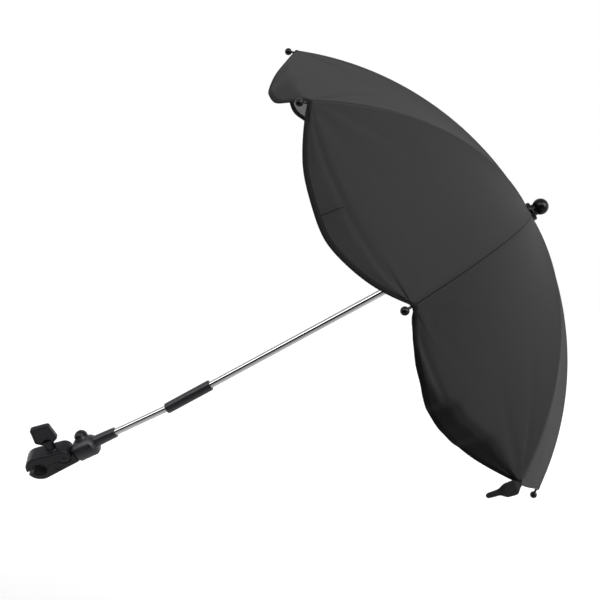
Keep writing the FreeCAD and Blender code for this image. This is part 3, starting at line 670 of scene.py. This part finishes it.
def valance_depth(gore, share):
    shape = valances[gore]
    side = share / shape.peak if share < shape.peak else (1.0 - share) / (1.0 - shape.peak)
    return max(TIP_VALANCE, shape.depth * (1.0 - (1.0 - min(1.0, side)) ** 2))


def hang_of(gore):
    return (Vector((0.0, 0.0, -1.0)) * valances[gore].weight - pole_up).normalized()


def crease_share(gore, share):
    """Share of a valance's depth where it turns under. A turn that slants from rib to rib is ragged."""
    shape = valances[gore]
    slant = shape.second - shape.first
    ragged = 0.05 * math.sin(23.0 * share) + 0.03 * math.sin(47.0 * share + 1.0)
    turn_at = shape.first + slant * share + min(1.0, abs(slant)) * ragged
    return min(1.0, max(EARLIEST_TURN, turn_at))


print("valances", len(valances), "deepest", max(shape.depth for shape in valances.values()))

# %% [markdown]
# Seen from the side, a valance first runs on along the panel's slope and then turns to its own angle. A
# hyperbola makes that turn soft. The result is scaled so that the valance reaches down as far as its
# depth says, unless it is turned so far under that it can't.

# %% Section of a valance
PANEL_SLOPE = math.radians(53.0)
TURN_SOFTNESS = 0.09
LEAST_REACH = 0.85


def on_section(gore, share, fall):
    """How far out and how far down a valance has gone after a part of its fall, as shares of its depth."""
    crease = crease_share(gore, share)
    under = math.radians(valances[gore].turn)

    def after_crease(x):
        return (x - crease + math.hypot(x - crease, TURN_SOFTNESS)) / 2.0

    def path(x):
        late = after_crease(x) - after_crease(0.0)
        early = x - late
        return (math.cos(PANEL_SLOPE) * early + math.cos(under) * late,
                math.sin(PANEL_SLOPE) * early + math.sin(under) * late)

    away, below = path(fall)
    full = max(LEAST_REACH, path(1.0)[1])
    return away / full, below / full


print("section at the middle of gore 8", [round(x, 3) for x in on_section(8, 0.5, 1.0)])

# %% [markdown]
# Cloth that is pulled at its corners creases. Folds and fine puckers fan out from each rib tip and die
# away, a groove marks where the valance turns, and the free edge flutters a little. The phases are fixed
# numbers that only keep the panels from looking alike.

# %% Creases of the cloth
RIM_WIDTH = 0.265
PANEL_LENGTH = 0.37
LEAST_WIDTH = 0.05      # share of the rim's width that the crown counts with
AT_TIP = 1e-5
TIP_PLAIN = 0.012       # radius round a tip that stays flat under the seam
CREASE_REACH = 0.05
PUCKER_REACH = 0.035
SWELL_DEPTH, SWELL_RATE = 0.0008, 7.0
FOLD_DEPTH, FOLD_RATE = 0.0038, 4.5
FOLD_SHARPNESS = 4
PUCKER_DEPTH, PUCKER_RATE = 0.0011, 19.0
FLUTTER_DEPTH, FLUTTER_RATE = 0.0014, 19.0
GROOVE_DEPTH = 0.0019
GROOVE_WIDTH = 0.0035
GROOVE_BELOW = 0.001
GROOVE_LOWEST = 0.5     # share of a valance's depth
GROOVE_FADE, CREASE_FADE = 2.0, 6.0    # how soon they grow beside a rib
HIGH_GORE = 7
HIGH_CREASES = 0.2      # share of the creases that its valance keeps
HIGH_FADE = 0.1


def bow(share):
    """0 at the ribs and 1 in the middle between them."""
    return 4.0 * share * (1.0 - share)


def eased(x):
    x = min(1.0, max(0.0, x))
    return x * x * (3.0 - 2.0 * x)


def crease_height(gore, down):
    """The high panel's valance is pulled smooth by its own weight, so its creases die out there."""
    if gore != HIGH_GORE:
        return 1.0
    return HIGH_CREASES + (1.0 - HIGH_CREASES) * eased((1.0 - down) / HIGH_FADE)


def ripple(gore, share, down):
    """How far the cloth stands out of its smooth shape."""
    depth = valance_depth(gore, share)
    width = RIM_WIDTH * min(1.0, max(LEAST_WIDTH, down))
    up = (1.0 - down) * PANEL_LENGTH if down < 1.0 else -(down - 1.0) * depth
    height = crease_height(gore, down)
    total = 0.0
    for side, across in ((0, share * width), (1, (1.0 - share) * width)):
        reach = math.hypot(across, up)
        if reach < AT_TIP:
            continue
        fan = math.atan2(up, across)
        strength = eased(reach / TIP_PLAIN) * math.exp(-reach / CREASE_REACH)
        swell = math.sin(fan * SWELL_RATE + gore * 1.1 + side)
        ridge = abs(math.sin(fan * FOLD_RATE + gore * 1.7 + side * 2.1 + 0.6))
        fold = (1.0 - ridge) ** FOLD_SHARPNESS
        pucker = math.exp(-reach / PUCKER_REACH) * math.sin(fan * PUCKER_RATE + gore * 0.9 + side * 1.3)
        total += strength * height * (SWELL_DEPTH * swell - FOLD_DEPTH * fold + PUCKER_DEPTH * pucker)
    if down > 1.0:
        flutter = math.sin(share * FLUTTER_RATE + gore * 2.3)
        total += FLUTTER_DEPTH * bow(share) * (down - 1.0) * flutter
    groove_at = min(GROOVE_LOWEST, crease_share(gore, share)) * depth + GROOVE_BELOW
    groove = math.exp(-((up + groove_at) / GROOVE_WIDTH) ** 2) * min(1.0, GROOVE_FADE * bow(share))
    total -= GROOVE_DEPTH * groove * height
    return total * min(1.0, CREASE_FADE * bow(share))


print("deepest fold", FOLD_DEPTH)

# %% [markdown]
# One function now gives any point of a gore from its share across and its way down, so that the panel and
# the tape on its rim lie on the same surface. Across the panel the cloth runs nearly straight from rib to
# rib and sags a little inwards.

# %% A point of a gore
SAG = 0.0045
SAG_PLACE = 0.8         # under 1 it is deepest above the middle of the panel
MEASURE_STEPS = 100


def panel_angle(down):
    return CROWN_ANGLE + (CORNER_ANGLE - CROWN_ANGLE) * min(down, 1.0)


def gore_point(gore, share, down):
    """Share goes from one rib to the next. Down goes from 0 to 1 on the panel and to 2 on the valance."""
    first, second = gore - 1, gore % RIBS
    angle = panel_angle(down)
    point = on_rib(first, angle).lerp(on_rib(second, angle), share)
    outward = (rib_out[first] + rib_out[second]).normalized()
    normal = (outward * math.sin(angle) + pole_up * math.cos(angle)).normalized()
    point = point - normal * SAG * bow(share) * math.sin(math.pi * min(1.0, down) ** SAG_PLACE)
    if down > 1.0:
        away, below = on_section(gore, share, down - 1.0)
        point = point + (outward * away + hang_of(gore) * below) * valance_depth(gore, share)
    return point + normal * ripple(gore, share, down)


def middle_length(gore):
    """Length of a gore's cloth down its middle, with its valance."""
    steps = [gore_point(gore, 0.5, k / MEASURE_STEPS) for k in range(2 * MEASURE_STEPS + 1)]
    return sum((b - a).length for a, b in zip(steps, steps[1:]))


print("gore lengths in the middle", [round(middle_length(gore), 3) for gore in range(1, RIBS + 1)])

# %% [markdown]
# Each gore starts as a flat grid whose points are carried onto that shape. The map keeps the weave at its
# true size, and two attributes say how far a point lies from the seam and from the crown. Solidify gives
# the cloth a back, which takes the silver lining. One valance is pieced from two lengths, so a short seam
# crosses it.

# %% Gores
ACROSS = 56
PANEL_ROWS = 60
VALANCE_ROWS = 16
PANEL_SHARE = PANEL_ROWS / (PANEL_ROWS + VALANCE_ROWS)
PIECED_GORE = 8
PIECED_SHARE = 29 / ACROSS
CLOTH_BACK = 0.0005
MM = 1000.0


def grid_mesh(name, across, rows, place):
    """A grid carried point by point onto a cloth shape, with its map and attributes."""
    bm = bmesh.new()
    bmesh.ops.create_grid(bm, x_segments=across, y_segments=rows, size=0.5)
    cloth_map = bm.loops.layers.uv.new("cloth")
    seam = bm.verts.layers.float.new("seam_mm")
    down_layer = bm.verts.layers.float.new("down_mm")
    bm.verts.index_update()
    flat = {}
    for vert in bm.verts:
        point, from_seam_m, from_crown_m, side_m = place(vert.co.x + 0.5, vert.co.y + 0.5)
        vert.co = point
        vert[seam] = from_seam_m * MM
        vert[down_layer] = from_crown_m * MM
        flat[vert.index] = (side_m, from_crown_m)
    for face in bm.faces:
        face.smooth = True
        for loop in face.loops:
            loop[cloth_map].uv = flat[loop.vert.index]
    bmesh.ops.reverse_faces(bm, faces=bm.faces)
    made_mesh = bpy.data.meshes.new(name)
    bm.to_mesh(made_mesh)
    bm.free()
    return made_mesh


def gore_place(gore):
    def place(share, row):
        down = row / PANEL_SHARE if row <= PANEL_SHARE else 1.0 + (row - PANEL_SHARE) / (1.0 - PANEL_SHARE)
        angle = panel_angle(down)
        width = 2.0 * CLOTH_SPHERE * math.sin(angle) * math.sin(math.pi / RIBS)
        length = CLOTH_SPHERE * (angle - CROWN_ANGLE) + max(0.0, down - 1.0) * valance_depth(gore, share)
        from_seam_m = min(share, 1.0 - share) * width
        if gore == PIECED_GORE and down > 1.0 + crease_share(gore, share):
            from_seam_m = min(from_seam_m, abs(share - PIECED_SHARE) * width)
        return gore_point(gore, share, down), from_seam_m, length, (share - 0.5) * width
    return place


gores = []
for gore in range(1, RIBS + 1):
    name = "cloth_gore_%d" % gore
    panel = grid_mesh(name, ACROSS, PANEL_ROWS + VALANCE_ROWS, gore_place(gore))
    piece = put(name, panel, None, [canopy_cloth, silver_lining], ["gore_%d" % gore])
    back = piece.modifiers.new("lining", "SOLIDIFY")
    back.thickness = CLOTH_BACK
    back.offset = -1.0
    back.material_offset = 1
    back.material_offset_rim = 0
    gores.append(piece)
print("gores", len(gores), "faces in each", len(gores[0].data.polygons))

# %% [markdown]
# A black tape is folded over the rim and sewn through. Its section goes down the outside, round the edge
# and up the inside, a hair away from the cloth.

# %% Rim tape
TAPE_ACROSS = 72
TAPE_ROWS = 14
TAPE = 0.0055           # from the rim to the tape's sewn edge
TAPE_GAP = 0.0004
TAPE_ROUND = 0.0012     # where the tape bends round the rim
TAPE_LENGTH = 0.278
PANEL_RUN = 0.38        # length of the panel above the valance
LOOK_ACROSS = 0.01      # steps to the neighbours that give the cloth's normal
LOOK_DOWN = 0.01
LOOK_UP = 0.02


def cloth_frame(gore, share, down):
    """A point of the cloth with its outward normal and its way down."""
    point = gore_point(gore, share, down)
    near, far = max(0.0, share - LOOK_ACROSS), min(1.0, share + LOOK_ACROSS)
    over = gore_point(gore, far, down) - gore_point(gore, near, down)
    along = gore_point(gore, share, min(2.0, down + LOOK_DOWN)) - gore_point(gore, share, down - LOOK_UP)
    normal = over.cross(along).normalized()
    if normal.dot(point - middle) < 0:
        normal = -normal
    return point, normal, along.normalized()


def tape_place(gore):
    def place(share, row):
        depth = valance_depth(gore, share)
        back_off = TAPE * abs(2.0 * row - 1.0)
        down = 2.0 - back_off / depth if back_off < depth else 1.0 - (back_off - depth) / PANEL_RUN
        point, normal, along = cloth_frame(gore, share, down)
        lift = TAPE_GAP if row < 0.5 else -TAPE_GAP - CLOTH_BACK
        wrap = max(0.0, 1.0 - back_off / TAPE_ROUND)
        lift = lift * (1.0 - wrap) - CLOTH_BACK / 2 * wrap
        return point + normal * lift + along * TAPE_GAP * wrap, back_off, share * TAPE_LENGTH, back_off
    return place


tapes = []
for gore in range(1, RIBS + 1):
    strip = grid_mesh("rim_tape_%d" % gore, TAPE_ACROSS, TAPE_ROWS, tape_place(gore))
    tapes.append(put("rim_tape_%d" % gore, strip, None, [binding_tape]))
print("tapes", len(tapes))

# %% [markdown]
# Now each gore and its tape have their placement baked into the mesh.

# %% Cloth baked in place
for gore in range(1, RIBS + 1):
    for piece in (gores[gore - 1], tapes[gore - 1]):
        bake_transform(piece)
    round(middle_length(gore), 3)
print("cloth declared", len(gores))

# %% [markdown]
# A short webbing strap hangs from one corner of the cloth. Wound round the closed parasol it keeps the
# cloth together. It is a band with a woven rib across it. It leaves the corner narrow, passes outside the
# rib's ball at its full width, and tapers to a rounded tail.

# %% Webbing of the tie strap
WEBBING_THREAD = 0.0008
WEBBING_RIDGES = 5.0    # radians for each millimetre
strap_web, nodes, links, shader = new_finish("strap_webbing", (0.010, 0.010, 0.011), 0.7, specular=0.2)
along = attribute(nodes, "down_mm")
fade = noise(nodes, links, object_place(nodes), scale=200.0, detail=4.0)
plain = two_tones(nodes, links, fade, (0.008, 0.008, 0.009), (0.018, 0.018, 0.019))
links.new(plain, shader.inputs["Base Color"])
ridges = calc(nodes, links, "SINE", calc(nodes, links, "MULTIPLY", along, WEBBING_RIDGES))
woven = calc(nodes, links, "ADD", ridges, weave(nodes, links, WEBBING_THREAD))
relief(nodes, links, shader, woven, depth=0.0002, strength=0.6)
print("webbing", strap_web.name)

# %% [markdown]
# The strap starts at the second rib's corner. Its way, its face and its side are worked out from that
# rib, so the strap follows the canopy. Lists of places and values along it, with eased steps between
# them, say how far it stands out and how wide it is.

# %% Tie strap
STRAP_RIB = 1           # the second rib, counted from 0
STRAP_ACROSS = 10
STRAP_ROWS = 36
STRAP_LENGTH = 0.042
STRAP_WIDTH = 0.0168
STRAP_THICK = 0.0011
STRAP_LEAN = 0.27
STRAP_TURN = math.radians(48.0)
STRAP_OFF_BALL = 0.0071
STRAP_TWIST, TWIST_RATE = 0.0008, 2.4
TAIL_START = 0.93       # share of the length where the tail rounds off
TAIL_LEAST = 0.04

corner = on_rib(STRAP_RIB, CORNER_ANGLE)
ball_low, ball_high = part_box("rib_tip_2")
to_ball = (Vector(ball_low) + Vector(ball_high)) / 2 - corner
beside_rib = pole_up.cross(rib_out[STRAP_RIB])
strap_way = (-pole_up - beside_rib * STRAP_LEAN).normalized()
strap_face = rib_out[STRAP_RIB] * math.cos(STRAP_TURN) - beside_rib * math.sin(STRAP_TURN)
strap_face = (strap_face - strap_way * strap_face.dot(strap_way)).normalized()
strap_side = strap_face.cross(strap_way)
past_ball = to_ball.dot(strap_face) + STRAP_OFF_BALL
out_places, out_values = (0.0, 0.2, 0.45, 0.7, 1.0), (0.0023, past_ball, past_ball, 0.0053, 0.0045)
wide_places, wide_values = (0.0, 0.22, 0.42, 0.68, 1.0), (0.32, 1.0, 0.95, 0.40, 0.34)


def steps_between(share, places, values):
    """Eased steps through a list of values."""
    for low, high, a, b in zip(places, places[1:], values, values[1:]):
        if share <= high:
            return a + (b - a) * eased((share - low) / (high - low))
    return values[-1]


def strap_place(share, row):
    past_tail = max(0.0, (row - TAIL_START) / (1.0 - TAIL_START))
    wide = steps_between(row, wide_places, wide_values) * math.sqrt(max(TAIL_LEAST, 1.0 - past_tail ** 2))
    twist = STRAP_TWIST * math.sin(TWIST_RATE * row) * (2 * share - 1)
    out = steps_between(row, out_places, out_values) + twist
    sideways = (share - 0.5) * STRAP_WIDTH
    point = corner + strap_way * (row * STRAP_LENGTH) + strap_face * out + strap_side * (sideways * wide)
    return point, min(share, 1 - share) * STRAP_WIDTH, row * STRAP_LENGTH, sideways


band = grid_mesh("tie_band", STRAP_ACROSS, STRAP_ROWS, strap_place)
tie_band = put("tie_band", band, "rib_2", [strap_web], ["tie_strap"])
thick = tie_band.modifiers.new("webbing", "SOLIDIFY")
thick.thickness = STRAP_THICK
thick.offset = 0.0
print("strap from", [round(x, 3) for x in corner])
